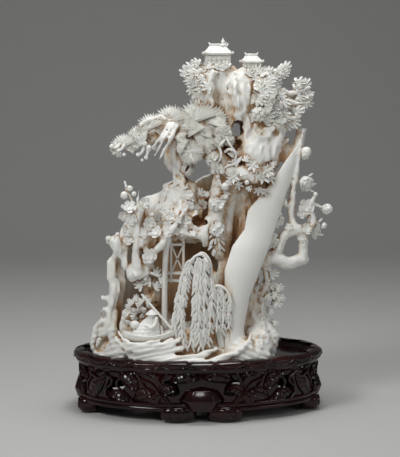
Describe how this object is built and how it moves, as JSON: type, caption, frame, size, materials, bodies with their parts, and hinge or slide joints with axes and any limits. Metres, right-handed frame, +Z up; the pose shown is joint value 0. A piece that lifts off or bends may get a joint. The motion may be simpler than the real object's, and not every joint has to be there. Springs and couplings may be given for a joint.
{
  "type": "ivory landscape carving on a wooden stand",
  "caption": "Carved ivory landscape, cut from one tusk section as a pierced mountain with pines, pavilions and a boat in a grotto, resting on an oval pierced rosewood stand.",
  "frame": {"origin": "middle of the outline on the ground, between the stand's feet", "axes": "+Z up, +X to the right of someone facing the carving, -Y towards that person"},
  "size_m": [0.1938, 0.12, 0.277],
  "materials": {
    "ivory": "satin",
    "rosewood": "gloss"
  },
  "bodies": {
    "root": {"ivory_landscape": "ivory", "carved_stand": "rosewood"}
  },
  "joints": []
}
